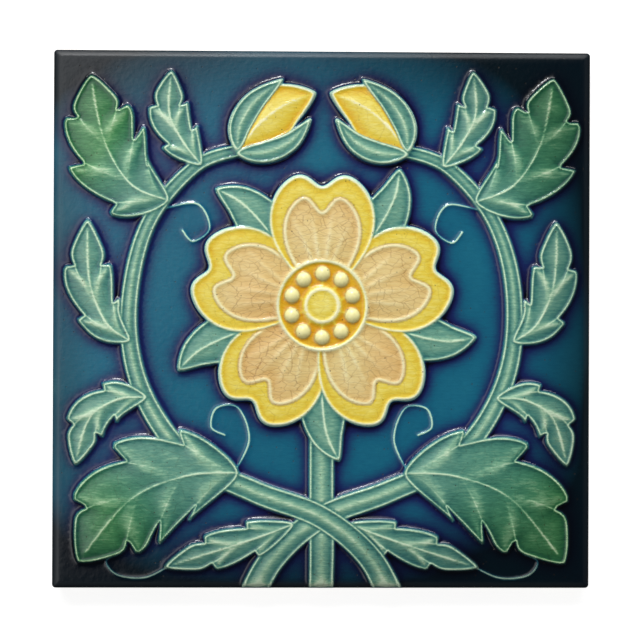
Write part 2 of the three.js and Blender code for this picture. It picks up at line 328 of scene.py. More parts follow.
def lay(outline, glaze, rise, swell=0.6, swell_width=2.4, ridge=0.42, ridge_width=0.26, veins=()):
    """Raise a form. A vein on it is (points, height at its start, height at its end, width)."""
    patch = patch_around(outline, 3)
    away, _ = distance(outline, patch, closed=True)
    top = rise - HOLLOW + swell * (1 - np.exp(-((np.maximum(away, 0) / swell_width) ** 2)))
    top += ridge * np.exp(-(((away - ridge_width) / ridge_width) ** 2))
    crest = np.exp(-(((away - ridge_width) / (CREST_SHARE * ridge_width)) ** 2)) * (ridge > 0)
    drawn = np.zeros(away.shape)
    for points, start, end, width in veins:
        reach, along = distance(points, patch, closed=False)
        height = start + (end - start) * along
        trail = np.exp(-((reach / width) ** 2))
        drawn = np.maximum(drawn, height * trail * step(away, 0.2, 1.4))
        if width < LINE_WIDTH:
            bare = np.clip(height / BARE_LINE, 0, 0.9) * trail**1.5
            crest = np.maximum(crest, bare * step(away, 0.2, 0.6))
    cover = step(away, -WALL, 0)
    clay[patch] += (top + drawn - clay[patch]) * cover
    line[patch] += (crest - line[patch]) * step(away, -0.35, -0.05)
    tint = step(away, 0, 0.6) if glaze == "yolk" else step(away, -0.3, 0)
    for name in GLAZES:
        laid[name][patch] += ((name == glaze) - laid[name][patch]) * tint


def hairline(points, height=0.45, width=0.26):
    """A fine raised line trailed straight on the ground."""
    patch = patch_around(points, 2)
    trail = np.exp(-((distance(points, patch, closed=False)[0] / width) ** 2))
    clay[patch] = np.maximum(clay[patch], height * trail)
    line[patch] = np.maximum(line[patch], HAIRLINE_BARE * trail)


# %% [markdown]
# ## From the stems to the beads
#
# The order is the order of the clay: stems first, then leaves, buds and sepals, then the petals, each
# over the last, and the beaded heart on top. A leaf has a fine raised rib, a fine line that runs in
# from each notch, and a broad soft swelling out to the tip of each lobe between them. Its glaze is pale
# on the swellings and deep beside the lines. A petal has a rolled lip and a swelling inside it. Each
# vein is given by its height at its start, its height at its end and its width.

# %% Stems and leaves
STEM_FOLD = (0.06, 0.06, 0.8)
RIB_LINE = (0.36, 0.16, 0.28)
NOTCH_LINE = (0.38, 0.04, 0.26)
LOBE_SWELLING = (0.08, 0.34)
LOBE_PLACES = (0.12, 0.5, LOBE_PEAK, 0.999)  # of a lobe: where its swelling starts, middle, tip, notch
KNEE_SHARE = 0.3  # of the leaf's half width, where a notch's line bends
BROAD_LEAF = 9


def stem_width(foot, tip):
    """A stem narrows evenly from its foot to its tip, and nothing leans."""
    return lambda share: (foot + (tip - foot) * share, 0 * share)


def bowed(start, knee, end, count=14):
    """A curve from start to end that is pulled towards a knee."""
    t = np.linspace(0, 1, count)[:, None]
    return start * (1 - t) ** 2 + knee * 2 * t * (1 - t) + end * t**2


def leaf_veins(rib, half_width, lobes):
    """A leaf's rib, the swelling along each lobe, and the fine line in from each notch."""
    ribline, normal, share = spine(rib)
    way = np.column_stack([normal[:, 1], -normal[:, 0]])
    reach, lean = leaf_width(share, half_width, lobes)
    veins = [(ribline[2: int(len(ribline) * 0.95)], *RIB_LINE)]
    for lobe in range(lobes - 1):
        places = [(lobe + place) / lobes for place in LOBE_PLACES]
        start, middle, peak, notch = np.searchsorted(share, places)
        for hand in (1, -1):
            tip = ribline[peak] + hand * normal[peak] * reach[peak] + way[peak] * lean[peak]
            inlet = ribline[notch] + hand * normal[notch] * reach[notch]
            knee = ribline[middle] + hand * normal[middle] * reach[middle] * KNEE_SHARE
            swelling = bowed(ribline[start], ribline[middle], tip)
            veins.append((swelling, *LOBE_SWELLING, 0.35 + 0.1 * half_width))
            veins.append((bowed(inlet, knee, ribline[start]), *NOTCH_LINE))
    return veins


for trail in TENDRILS:
    for hand in (1, -1):
        hairline(spine(placed(trail, hand))[0])
main_stem = around(placed(MAIN_STEM), stem_width(MAIN_STEM_HALF_WIDTH, MAIN_STEM_HALF_WIDTH))
lay(main_stem, "leaf", STEM_RELIEF, swell=0.4)
for hand in (1, -1):
    path = placed(BRIAR, hand)
    fold = [(spine(path)[0], *STEM_FOLD)]
    briar = around(path, stem_width(BRIAR_FOOT_HALF_WIDTH, BRIAR_TIP_HALF_WIDTH))
    lay(briar, "leaf", STEM_RELIEF, swell=0.4, veins=fold)
    for shape in LEAVES:
        rib, size, lobes = placed(shape["rib"], hand), shape["half_width"], shape["lobes"]
        outline = around(rib, lambda share: leaf_width(share, size, lobes))
        kind = "spring" if size > BROAD_LEAF else "leaf"
        lay(outline, kind, LEAF_RELIEF, swell=0.4, swell_width=3.6, veins=leaf_veins(rib, size, lobes))
print("highest leaf", round(clay.max(), 2), "mm above the ground")

# %% Buds
BUD_LINE = (0.25, 0.1, 0.35)
BUD_SEPAL_LINE = (0.1, 0.1, 0.4)
for hand in (1, -1):
    rib = placed(BUD["rib"], hand)
    outline = around(rib, lambda share: leaf_width(share, BUD["half_width"]))
    folds = [(spine(rib)[0], *BUD_LINE)]
    lay(outline, "yolk", BUD_RELIEF, swell=0.6, swell_width=4, ridge_width=0.4, veins=folds)
    for shape in BUD_SEPALS:
        rib, size = placed(shape["rib"], hand), shape["half_width"]
        outline = around(rib, lambda share: leaf_width(share, size))
        lay(outline, "leaf", BUD_SEPAL_RELIEF, swell=0.3, veins=[(spine(rib)[0], *BUD_SEPAL_LINE)])

# %% Sepals and petals
SEPAL_LINE = (0.34, 0.16, 0.28)
PETAL_FOLD = (0.24, 0.06, 0.55)
for turn in petal_turns:
    rib = sepal_rib(turn + math.pi / PETALS)
    outline = around(rib, lambda share: leaf_width(share, SEPAL_HALF_WIDTH))
    lay(outline, "leaf", SEPAL_RELIEF, swell=0.3, veins=[(spine(rib)[0], *SEPAL_LINE)])

PETAL_ORDER = (2, 3, 1, 4, 0)  # from the lowest to the top one
FOLD_TURNS = (-0.34, -0.12, 0.12, 0.34)  # in radians to either side of a petal's middle
FOLD_FROM = 12
FOLD_TO = 29
FULL_TURN = 28  # the reach at which a fold has all of its turn
LINE_ROOM = 0.2  # height that a high form gives up to its raised line
for i in PETAL_ORDER:
    turn = petal_turns[i]
    outline = petal(turn, PETAL_REACH, PETAL_SPREAD, PETAL_NOTCH)
    lay(outline, "yolk", PETAL_RELIEF, swell=0.2, ridge=0.35, ridge_width=0.45)
    inner = petal(turn, PETAL_REACH * SWELL_SHARE, SWELL_SPREAD, SWELL_NOTCH)
    folds = []
    for lean in FOLD_TURNS:
        reach = np.linspace(FOLD_FROM, FOLD_TO - 8 * abs(lean), 12)
        folds.append((rose_point(turn + lean * (reach / FULL_TURN) ** 0.5, reach), *PETAL_FOLD))
    lay(inner, "petal", PETAL_SWELL_RELIEF - LINE_ROOM, swell=0.4, swell_width=6, ridge=0.3,
        ridge_width=0.5, veins=folds)

# %% The beaded heart
HEART_RIM = 1.4
HEART_DISH = 0.25  # how far the heart's floor lies below its rim
HEART_SPOKE = (0.15, 0.15, 0.45)
SPOKE_REACH = (5, 12)
BEAD_FOOT = HEART_RELIEF - 0.6
round_turns = np.linspace(0, 2 * np.pi, 48, endpoint=False)
lay(rose_point(round_turns, HEART_RADIUS), "yolk", HEART_RELIEF, swell=0, ridge=0.35, ridge_width=0.6)
spokes = []
for turn in np.linspace(0, 2 * np.pi, BEADS, endpoint=False) + math.pi / BEADS:
    spokes.append((rose_point(np.full(8, turn), np.linspace(*SPOKE_REACH, 8)), *HEART_SPOKE))
lay(rose_point(round_turns, HEART_RADIUS - HEART_RIM), "yolk", HEART_RELIEF - HEART_DISH, swell=0,
    ridge=0, veins=spokes)
lay(rose_point(round_turns, BOSS_RADIUS), "yolk", BOSS_RELIEF - LINE_ROOM, swell=0.3, ridge=0.35,
    ridge_width=0.6)
for turn in np.linspace(0, 2 * np.pi, BEADS, endpoint=False) + math.pi / 2:
    centre = rose_point(turn, BEAD_RING)
    outline = centre + BEAD_RADIUS * np.column_stack([np.cos(round_turns), np.sin(round_turns)])
    patch = patch_around(outline, 1)
    away, _ = distance(outline, patch, closed=True)
    dome = np.sqrt(np.maximum(1 - np.clip(1 - away / BEAD_RADIUS, 0, 1) ** 2, 0))
    ball = BEAD_FOOT + (BEAD_RELIEF - BEAD_FOOT) * dome
    clay[patch] += (ball - clay[patch]) * step(away, -0.1, 0.1)
    line[patch] *= 1 - step(away, -0.3, 0)
    for name in GLAZES:
        laid[name][patch] += ((name == "bead") - laid[name][patch]) * step(away, -0.2, 0.1)
print("highest bead", round(clay.max(), 2), "mm above the ground")

# %% [markdown]
# ## How thick the glaze lies
#
# Molten glaze levels itself. It leaves the raised lines almost bare and gathers against the foot of
# every wall and in every hollow. The fired surface is the clay, softened a little, and the thickness is
# what the clay lacks against a smoothed copy of itself. Two smoothings, one narrow and one wide, give
# the hard dark edge at the foot and the soft bloom around it. On a form only the form itself is
# smoothed, because the raised line keeps its glaze apart from the ground's: so a leaf is dark beside
# its line and pale in its middle.

# %% Glaze surface and thickness
SOFTENING = ((0.65, 0.16), (0.35, 0.4))  # (share, size) of the blurs that round the fired surface
FLAT_DEPTH = 0.23  # of the glaze where the clay is level
SEAM_WIDTH = 0.7
SEAM_SHARE = 0.45  # of the lacking clay, made up by glaze. On the greens it is twice as much
POOL_WIDTH = 2.3
POOL_SHARE = 0.68
DEPTH_NOISE = ((0.03, 26, 3), (0.02, 7, 4))  # (amount, size, seed)
from_edge = HALF_SIDE - np.maximum(np.abs(grid_x), np.abs(grid_y))
clay *= step(from_edge, -0.4, 1.2)
surface = sum(share * blurred(clay, size) for share, size in SOFTENING)
green = laid["leaf"] + laid["spring"]
flower = laid["petal"] + laid["yolk"] + laid["bead"]
formed = np.clip(green + flower, 0, 1)


def pooled(size):
    """How far the clay lies below what is around it, on the ground and within the forms."""
    around_here = blurred(clay, size)
    on_form = blurred(clay * formed, size) / np.maximum(blurred(formed, size), 0.02)
    return around_here + (on_form - around_here) * formed - clay


depth = FLAT_DEPTH + SEAM_SHARE * (1 + green) * pooled(SEAM_WIDTH) + POOL_SHARE * pooled(POOL_WIDTH)
for amount, size, seed in DEPTH_NOISE:
    depth += amount * soft_noise(size, seed)
line *= np.clip(0.84 + 0.2 * soft_noise(1.4, 11), 0.45, 1)
print("glaze thickness from", round(depth.min(), 2), "to", round(depth.max(), 2), "mm")

# %% [markdown]
# More maps make the glaze look fired and old, and not printed, and one of them is painted shade: the
# ground, and less so the forms, is darkened towards the right side, the corners and the edges. Towards the
# corners the broad leaves pass from the blue green of
# the stems to a fuller green, and the petals vary from straw to peach. The glaze draws away from the
# tile's edge, so it is duller there. And it has crazed: a net of fine cracks that shows most on the
# petals.

# %% Painted shade, greens, gloss and crazing
RAMP_DEPTH = 0.85  # the thickness at the dark end of each glaze's colours
# Painted shade: how dark the border and the rim of the tile are made, and how far the bare lines are spared
# it
BORDER_SHADE = 0.45
RIM_SHADE = 0.12
LINE_SHELTER = 0.7  # how far a bare line is spared the shading
across, up = grid_x / HALF_SIDE, grid_y / HALF_SIDE
# Painted shade on the sides: the top, the bottom and the right-hand side are darkened by different amounts
SHADED_SIDES = ((up, 0.6, 0.4), (-up, 0.6, 0.7), (across, 0.65, 0.4))
ground = 1 - formed
parts = {"ground": ground, "formed": formed, "green": green, "flower": flower,
         "petal": laid["petal"], "yolk": laid["yolk"]}
# Painted shade, darkest in the corners, then along the sides, the border and the rim
dusk = step(np.hypot(across + 0.1, up), 0.8, 1.45)
for toward, start, amount in SHADED_SIDES:
    dusk += amount * step(toward, start, 1)
dusk = np.maximum(dusk, BORDER_SHADE * step(from_edge, 16, 2)) + RIM_SHADE * step(from_edge, 3.5, 1)
dusk = np.clip(dusk + 0.05 * soft_noise(20, 7), 0, 1)
fuller = np.clip(0.15 + 0.85 * step(np.hypot(across, up), 0.7, 1.15) + 0.3 * soft_noise(16, 6), 0, 1)
laid["leaf"] += laid["spring"] * (1 - fuller)
laid["spring"] *= fuller


def shared_out(**shares):
    """A map of how strongly something shows, from its share on each part of the picture."""
    return sum(share * parts[part] for part, share in shares.items())


maps = {
    "shade": depth * (1 - line) / RAMP_DEPTH,
    "uneven": shared_out(ground=0.45, formed=1.25),
    # Painted shade: strong on the ground, weaker on the greens, faint on the flower, least on the bare
    # lines
    "dusk": dusk * shared_out(ground=0.97, green=0.45, flower=0.12) * (1 - LINE_SHELTER * line),
    "dull": 1 - step(from_edge, 0.9, 2.6),
    "peach": np.clip(0.5 + 0.6 * soft_noise(9, 9), 0, 1) * (1 - line),
    "craze": shared_out(petal=0.75, yolk=0.3, green=0.32, ground=0.12)
             * np.clip(0.6 + 0.5 * soft_noise(18, 8), 0.1, 1) * (1 - line),
    **laid,
}
print("ground shaded from", round(dusk.min(), 2), "to", round(dusk.max(), 2))


def sampled(field, x, y):
    """A map's values at any places on the tile."""
    column = np.clip((x + HALF_SIDE) / cell, 0, count - 1.001)
    row = np.clip((y + HALF_SIDE) / cell, 0, count - 1.001)
    i, j = row.astype(int), column.astype(int)
    v, u = row - i, column - j
    left = field[i, j] * (1 - v) + field[i + 1, j] * v
    right = field[i, j + 1] * (1 - v) + field[i + 1, j + 1] * v
    return left * (1 - u) + right * u


# %% [markdown]
# ## A net of points that follows the relief
#
# A plain grid fine enough for the raised lines would waste most of its points on flat ground. Instead
# three nets of points are laid over each other: a fine one where the surface bends sharply or a line is
# drawn, one with twice its spacing near by, and one with four times its spacing on the flats. A
# Delaunay triangulation joins them. The rounded edge, the sides and the back's rim are rings of quads
# from the same loop of points, so the whole tile is one closed skin.

# %% Rings round the tile
STEMS_HALF_SPAN = 0.42  # the share of the lower side that stems cross
PLAIN_STEPS = 75
STEMS_STEPS = 129
BESIDE_STEPS = 21
CORNER_FACETS = 5


def ring_stations():
    """Places along one loop of the tile's edge: (side, share along it), finer where stems cross it."""
    span = STEMS_HALF_SPAN
    plain = np.linspace(-1, 1, PLAIN_STEPS, endpoint=False)
    busy = np.concatenate([np.linspace(-1, -span, BESIDE_STEPS, endpoint=False),
                           np.linspace(-span, span, STEMS_STEPS, endpoint=False),
                           np.linspace(span, 1, BESIDE_STEPS, endpoint=False)])
    return [(side, share) for side in range(4) for share in (busy if side == 0 else plain)]


def ring(inset, radius):
    """A loop of points round the tile, inset from its side, with rounded corners."""
    half = HALF_SIDE - inset
    straight = half - radius
    points = []
    for side in range(4):
        angle = -math.pi / 2 + side * math.pi / 2
        out = np.array([math.cos(angle), math.sin(angle)])
        along = np.array([-out[1], out[0]])
        shares = [share for place, share in stations if place == side]
        points += [out * half + along * straight * share for share in shares]
        for k in range(CORNER_FACETS):
            turn = angle + math.pi / 2 * k / CORNER_FACETS
            centre = (out + along) * straight
            points.append(centre + radius * np.array([math.cos(turn), math.sin(turn)]))
    return np.array(points)


stations = ring_stations()
INNER_RADIUS = 0.35
inner_loop = ring(EDGE_WIDTH, INNER_RADIUS)
print(len(inner_loop), "points in each ring")

# %% Points of the face
FINE = 0.3
SHARP_SHARES = (0.79, 0.46)  # of the face that is flatter than the fine net, and than the middle one
STROKE_WEIGHT = 1.6
LOOP_GAP = 0.25
bend = np.hypot(*np.gradient(np.hypot(*np.gradient(surface, cell)), cell))
stroke = np.hypot(*np.gradient(line, cell))
need = blurred(bend / bend.std() + STROKE_WEIGHT * stroke / stroke.std(), 0.2)
ROW = FINE * math.sqrt(3) / 2
reach = int(HALF_SIDE / ROW) + 2
rows, columns = np.mgrid[-reach:reach, -2 * reach:2 * reach]
net_x = ((columns + rows / 2) * FINE).ravel()
net_y = (rows * ROW).ravel()
rows, columns = rows.ravel(), columns.ravel()
here = np.maximum(np.abs(net_x), np.abs(net_y)) < HALF_SIDE - EDGE_WIDTH - LOOP_GAP
net_x, net_y, rows, columns = net_x[here], net_y[here], rows[here], columns[here]
sharpness = sampled(need, net_x, net_y)
every_second = (rows % 2 == 0) & (columns % 2 == 0)
every_fourth = (rows % 4 == 0) & (columns % 4 == 0)
FINE_FROM, MEDIUM_FROM = np.quantile(sharpness, SHARP_SHARES)
chosen = (sharpness > FINE_FROM) | (every_second & (sharpness > MEDIUM_FROM)) | every_fourth
face_points = np.column_stack([net_x[chosen], net_y[chosen]])
print(len(face_points), "points on the face")

# %% Triangles of the face
loop_size = len(inner_loop)
flat_points = [Vector(point) for point in np.vstack([inner_loop, face_points])]
net = delaunay_2d_cdt(flat_points, [], [list(range(loop_size))], 1, 1e-6, True)
face_xy = np.array([tuple(point) for point in net[0]])
face_triangles = [tuple(face) for face in net[2]]
loop_in_net = [0] * loop_size
for new, olds in enumerate(net[3]):
    for old in olds:
        if old < loop_size:
            loop_in_net[old] = new
print(len(face_triangles), "triangles on the face")

# %% The tile's skin
vertices = [(x, y, GROUND_HEIGHT + z) for (x, y), z in zip(face_xy, sampled(surface, *face_xy.T))]
unfolded = [tuple(point) for point in face_xy]
faces = list(face_triangles)
finishes = [0] * len(faces)


def add_ring(previous, points, heights, finish, spread):
    """Join a new ring to the last one. Unfolded flat, it lies spread beyond the tile's side."""
    first = len(vertices)
    vertices.extend((x, y, z) for (x, y), z in zip(points, heights))
    unfolded.extend(tuple(point) for point in ring(-spread, CORNER_RADIUS + max(spread, 0)))
    new = list(range(first, first + len(points)))
    for a, b, c, d in zip(previous, previous[1:] + previous[:1], new[1:] + new[:1], new):
        faces.append((a, d, c, b))
        finishes.append(finish)
    return new


ROUND_STEPS = 9
current = loop_in_net
for k in range(1, ROUND_STEPS + 1):
    turn = math.pi / 2 * k / ROUND_STEPS
    inset = EDGE_WIDTH * (1 - math.sin(turn))
    radius = INNER_RADIUS + (CORNER_RADIUS - INNER_RADIUS) * math.sin(turn)
    points = ring(inset, radius)
    heights = GROUND_HEIGHT - EDGE_DROP * (1 - math.cos(turn)) + sampled(surface, *points.T) * (inset > 0)
    current = add_ring(current, points, heights, 0, -EDGE_WIDTH * (1 - k / ROUND_STEPS))

# %% [markdown]
# The glaze runs over the edge and stops in a wavy lip on the way down. Below it the clay is bare. The
# lip is a few sine waves of unlike length, so it never repeats round the tile, and the back's edge is
# rounded a little.

# %% Sides
LIP_HEIGHT = 3.4
LIP_WAVES = (3, 5, 9, 14, 23, 37)
LIP_SWING = 1.56
LIP_LIMITS = (1.4, 5.6)
turns = np.linspace(0, 2 * np.pi, loop_size, endpoint=False)
generator = np.random.default_rng(5)
lip = np.full(loop_size, LIP_HEIGHT)
for waves in LIP_WAVES:
    lip += LIP_SWING / waves**0.75 * np.sin(waves * turns + generator.uniform(0, 2 * np.pi))
lip = np.clip(lip, *LIP_LIMITS)
LIP_STEP = 0.16
BACK_ROUND = 0.5
outer = ring(0, CORNER_RADIUS)
clay_side = ring(LIP_STEP, CORNER_RADIUS - LIP_STEP)
current = add_ring(current, outer, lip + 0.25, 0, 3.0)
current = add_ring(current, ring(LIP_STEP * 0.35, CORNER_RADIUS), lip + 0.05, 0, 3.3)
current = add_ring(current, clay_side, lip - 0.08, 0, 3.6)
current = add_ring(current, clay_side, np.full(loop_size, BACK_ROUND), 1, 7.0)
for turn in (30, 60, 90):
    inset = LIP_STEP + BACK_ROUND * (1 - math.cos(math.radians(turn)))
    height = BACK_ROUND * (1 - math.sin(math.radians(turn)))
    loop = ring(inset, CORNER_RADIUS - LIP_STEP)
    current = add_ring(current, loop, np.full(loop_size, height), 1, 7.0 + turn / 100)
print("lip of the glaze between", round(lip.min(), 1), "and", round(lip.max(), 1), "mm up the side")

# %% The back, with its mortar key
KEY_WIDTH = 5.0
KEY_RIB = 5.5
KEY_DEPTH = 1.0
KEY_DRAFT = 0.6
KEY_BORDER = 9.0
back_points = [Vector(vertices[i][:2]) for i in current]
back_heights = [0.0] * loop_size
back_edges = []
pitch = KEY_WIDTH + KEY_RIB
pairs = int((2 * HALF_SIDE - 2 * KEY_BORDER + KEY_RIB) // (2 * pitch))
for k in range(-pairs, pairs):
    middle = (k + 0.5) * pitch
    for half_width, height in ((KEY_WIDTH / 2, 0.0), (KEY_WIDTH / 2 - KEY_DRAFT, KEY_DEPTH)):
        half_length = HALF_SIDE - KEY_BORDER - (KEY_WIDTH / 2 - half_width)
        first = len(back_points)
        for x_sign, start in ((1, -90), (-1, 90)):
            for turn in np.radians(np.linspace(start, start + 180, 9)):
                x = x_sign * (half_length - half_width) + half_width * math.cos(turn)
                back_points.append(Vector((x, middle + half_width * math.sin(turn))))
                back_heights.append(height)
        last = len(back_points)
        back_edges += [(i, i + 1) for i in range(first, last - 1)] + [(last - 1, first)]
net = delaunay_2d_cdt(back_points, back_edges, [list(range(loop_size))], 1, 1e-6, True)
first_back_face = len(faces)
numbers = []
for point, olds in zip(net[0], net[3]):
    if olds and olds[0] < loop_size:
        numbers.append(current[olds[0]])
    else:
        numbers.append(len(vertices))
        vertices.append((point.x, point.y, back_heights[olds[0]] if olds else 0.0))
for face in net[2]:
    faces.append(tuple(numbers[i] for i in reversed(face)))
    finishes.append(1)
print(2 * pairs, "grooves,", len(vertices), "vertices,", len(faces), "faces")

# %% The mesh and its glaze maps
SHARP_ANGLE = 50
mesh = bpy.data.meshes.new("relief_tile_skin")
mesh.from_pydata([Vector(vertex) * MM for vertex in vertices], [], faces)
mesh.update()
tile = bpy.data.objects.new("relief_tile_skin", mesh)
bpy.context.scene.collection.objects.link(tile)
mesh.polygons.foreach_set("use_smooth", [True] * len(faces))
mesh.polygons.foreach_set("material_index", finishes)
xyz = np.array(vertices)
for name, field in maps.items():
    values = sampled(field, xyz[:, 0], xyz[:, 1])
    mesh.attributes.new(name, "FLOAT", "POINT").data.foreach_set("value", values.astype(np.float32))
mesh.set_sharp_from_angle(angle=math.radians(SHARP_ANGLE))
print("skin box", [round(v, 5) for v in xyz.min(axis=0)], [round(v, 5) for v in xyz.max(axis=0)])

# %% [markdown]
# The skin also gets a flat map, so that its colours can be kept as one picture. An automatic unwrap
# would cut it along the relief's walls. Unfolding the sides outwards round the face leaves one piece,
# and the back is the second piece, above it on the map.

# %% The flat map
MAP_MARGIN = 0.005
MAP_FACE_HIGH = 0.70
MAP_BACK_FROM = 0.715
flat_xy = np.array(unfolded + [(0, 0)] * (len(vertices) - len(unfolded)))
corner_vertex = np.empty(len(mesh.loops), dtype=np.int32)
mesh.loops.foreach_get("vertex_index", corner_vertex)
on_back = np.repeat(np.arange(len(faces)) >= first_back_face, [len(face) for face in faces])
reach = np.abs(flat_xy).max()
face_uv = (flat_xy[corner_vertex] / reach + 1) / 2
back_uv = (xyz[corner_vertex, :2] / HALF_SIDE + 1) / 2
u = np.where(on_back, back_uv[:, 0], face_uv[:, 0]) * (1 - 2 * MAP_MARGIN) + MAP_MARGIN
v_face = MAP_MARGIN + face_uv[:, 1] * (MAP_FACE_HIGH - MAP_MARGIN)
v_back = MAP_BACK_FROM + back_uv[:, 1] * (1 - MAP_MARGIN - MAP_BACK_FROM)
flat_map = mesh.uv_layers.new(name="OFBake")
flat_map.uv.foreach_set("vector", np.column_stack([u, np.where(on_back, v_back, v_face)]).ravel())
print("the face unfolds to", round(2 * reach, 1), "mm across")

# %% [markdown]
# ## Glaze
#
# The glazes are lead glazes stained with metal oxides: cobalt blue on the ground, copper green on the
# leaves, iron yellow and buff on the rose. Each one is the same clear glass with more or less colour
# between the eye and the pale clay. So each gets a ramp from its thin colour to its pooled colour, read
# at the glaze's thickness. The thickness map carries all the drawing. Noise makes the glaze on the forms
# as uneven as if it was laid on with a brush, and the flooded ground less so.

# %% Colours and a node helper
def linear(hex_colour):
    """An sRGB hex colour as the linear colour that Blender works in."""
    values = [int(hex_colour[i:i + 2], 16) / 255 for i in (1, 3, 5)]
    return [v / 12.92 if v <= 0.04045 else ((v + 0.055) / 1.055) ** 2.4 for v in values] + [1.0]


def add_node(tree, kind, settings=(), links=()):
    """Add a node. Settings are (name or input, value), links are (input, output socket)."""
    node = tree.nodes.new(kind)
    for name, value in settings:
        if name == "stops":
            elements = node.color_ramp.elements
            elements.remove(elements[1])
            elements[0].position, elements[0].color = value[0][0], linear(value[0][1])
            for position, colour in value[1:]:
                elements.new(position).color = linear(colour)
        elif isinstance(name, int) or name in node.inputs:
            node.inputs[name].default_value = value
        else:
            setattr(node, name, value)
    for name, socket in links:
        tree.links.new(socket, node.inputs[name])
    return node


def new_material(name):
    """An empty node material, and its tree."""
    material = bpy.data.materials.new(name)
    material.use_nodes = True
    material.node_tree.nodes.clear()
    return material, material.node_tree


# %% Glaze thickness on the skin
glaze, tree = new_material("lead_glaze_over_clay")
here = add_node(tree, "ShaderNodeTexCoord").outputs["Object"]
read = {}
for name in maps:
    read[name] = add_node(tree, "ShaderNodeAttribute", [("attribute_name", name)]).outputs["Fac"]
GRAIN = ((3.5, 1.0, 0.08), (0.5, 5.0, 0.32))
marks = add_node(tree, "ShaderNodeValue").outputs[0]
marks.default_value = -sum(amount for size, stretch, amount in GRAIN) / 2
for size, stretch, amount in GRAIN:
    place = add_node(tree, "ShaderNodeMapping", [("Scale", (1 / stretch, 1, 1))], [("Vector", here)])
    grain = add_node(tree, "ShaderNodeTexNoise",
                     [("Scale", 1 / (size * MM)), ("Detail", 3.0), ("Roughness", 0.6)],
                     [("Vector", place.outputs[0])])
    marks = add_node(tree, "ShaderNodeMath", [("operation", "MULTIPLY_ADD"), (1, amount)],
                     [(0, grain.outputs["Fac"]), (2, marks)]).outputs[0]
shade = add_node(tree, "ShaderNodeMath", [("operation", "MULTIPLY_ADD")],
                 [(0, marks), (1, read["uneven"]), (2, read["shade"])]).outputs[0]

# %% Coloured lead glazes, from thin to pooled
GLAZE_RAMPS = {
    "ground": [(0.0, "#bfe0c8"), (0.1, "#5fa3a2"), (0.2, "#1f6d84"), (0.3, "#175f7a"), (0.42, "#1a4468"),
               (0.56, "#182658"), (0.76, "#141442"), (1.0, "#04040f")],
    "leaf": [(0.0, "#d3eccc"), (0.12, "#9cc6a6"), (0.26, "#6fa28e"), (0.42, "#4d877b"),
             (0.6, "#2a6064"), (0.8, "#1a4254"), (1.0, "#071420")],
    "spring": [(0.0, "#cfe9bf"), (0.12, "#86b984"), (0.26, "#4d8e5a"), (0.42, "#337247"),
               (0.6, "#1f5040"), (0.8, "#123c34"), (1.0, "#04140c")],
    "petal": [(0.0, "#f4efbe"), (0.16, "#ecdfa4"), (0.34, "#e2cc8a"), (0.56, "#d2b068"), (1.0, "#8a6a34")],
    "yolk": [(0.0, "#f8f4c4"), (0.14, "#f0e27a"), (0.3, "#e6cd4a"), (0.46, "#dfb430"), (0.68, "#d8981c"),
             (1.0, "#a8660c")],
    "bead": [(0.0, "#f7efac"), (0.5, "#ecdc80"), (1.0, "#cfa23c")],
}
ramp = add_node(tree, "ShaderNodeValToRGB", [("stops", GLAZE_RAMPS["ground"])], [("Fac", shade)])
colour = ramp.outputs["Color"]
for name in GLAZES:
    ramp = add_node(tree, "ShaderNodeValToRGB", [("stops", GLAZE_RAMPS[name])], [("Fac", shade)])
    mix = add_node(tree, "ShaderNodeMix", [("data_type", "RGBA")],
                   [(0, read[name]), (6, colour), (7, ramp.outputs["Color"])])
    colour = mix.outputs[2]
PEACH = "#fae4d6"
PAINTED_SHADE_COLOUR = "#02070c"
blush = add_node(tree, "ShaderNodeMath", [("operation", "MULTIPLY")],
                 [(0, read["petal"]), (1, read["peach"])])
mix = add_node(tree, "ShaderNodeMix",
               [("data_type", "RGBA"), ("blend_type", "MULTIPLY"), (7, linear(PEACH))],
               [(0, blush.outputs[0]), (6, colour)])
# Painted shade: the glaze colour is mixed towards near black where the painted shade map is high, in the
# corners and along the edges
mix = add_node(tree, "ShaderNodeMix", [("data_type", "RGBA"), (7, linear(PAINTED_SHADE_COLOUR))],
               [(0, read["dusk"]), (6, mix.outputs[2])])
colour = mix.outputs[2]

# %% [markdown]
# Crazing is a net of cracks, so it is drawn with the edges of random cells: large ones across the whole
# glaze, and small ones within them. The cells are stretched sideways, as on the real petals, and noise
# bends their edges. A real crack is a few hundredths of a millimetre wide, and these are drawn a tenth
# wide, so that they show. The pits are the small dark specks that iron in the clay leaves in a lead
# glaze. The cracks and the pits are also taken off the height of the glaze's skin.

# %% Crazing and pits
CRAZE_NETS = ((3.4, 0.11, 0.85), (1.4, 0.11, 0.7))  # (size of a cell, width of a crack, how dark)
CRAZE_STRETCH = (0.42, 1, 1)
CRAZE_STAIN = "#9a6a3c"
DRIFT = 1.6 * MM
DRIFT_LENGTH = 2.5 * MM
DIMPLE_LENGTH = 1.6 * MM
relief = add_node(tree, "ShaderNodeTexNoise", [("Scale", 1 / DIMPLE_LENGTH), ("Detail", 2.0)],
                  [("Vector", here)]).outputs["Fac"]
drift = add_node(tree, "ShaderNodeTexNoise", [("Scale", 1 / DRIFT_LENGTH), ("Detail", 2.0)],
                 [("Vector", here)])
bent = add_node(tree, "ShaderNodeVectorMath", [("operation", "MULTIPLY_ADD"), (1, (DRIFT, DRIFT, 0))],
                [(0, drift.outputs["Color"]), (2, here)])
wide_cells = add_node(tree, "ShaderNodeMapping", [("Scale", CRAZE_STRETCH)], [("Vector", bent.outputs[0])])
